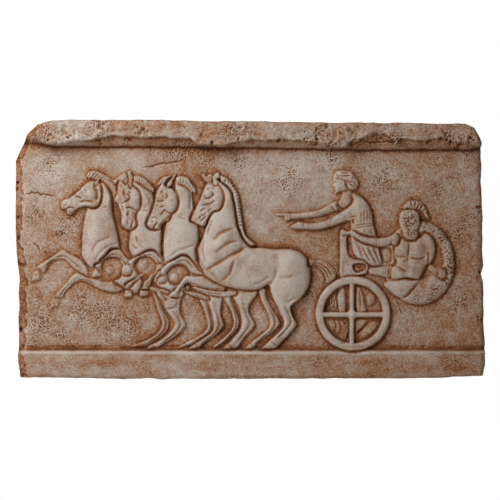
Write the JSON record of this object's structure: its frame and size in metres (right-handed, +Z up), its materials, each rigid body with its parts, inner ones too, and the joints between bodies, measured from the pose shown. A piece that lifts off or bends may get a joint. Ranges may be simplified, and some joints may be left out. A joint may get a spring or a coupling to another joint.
{
  "type": "cast stone wall relief",
  "caption": "Thick wall plaque of cast stone with a broken cornice, a ledge and a carved scene of a galloping horse team, a chariot and its riders, fixed flat to a wall.",
  "frame": {"origin": "middle of the flat back, where the slab meets the wall", "axes": "+Z up, +Y into the wall, +X to the right as a viewer in front of the wall sees it; the carving faces -Y"},
  "size_m": [0.7527, 0.0487, 0.4148],
  "materials": {
    "cast_stone": "matt cast stone, pale on the high parts, with a warm brown wash left in the hollows"
  },
  "bodies": {
    "root": {"stone_relief": "cast_stone"}
  },
  "joints": []
}
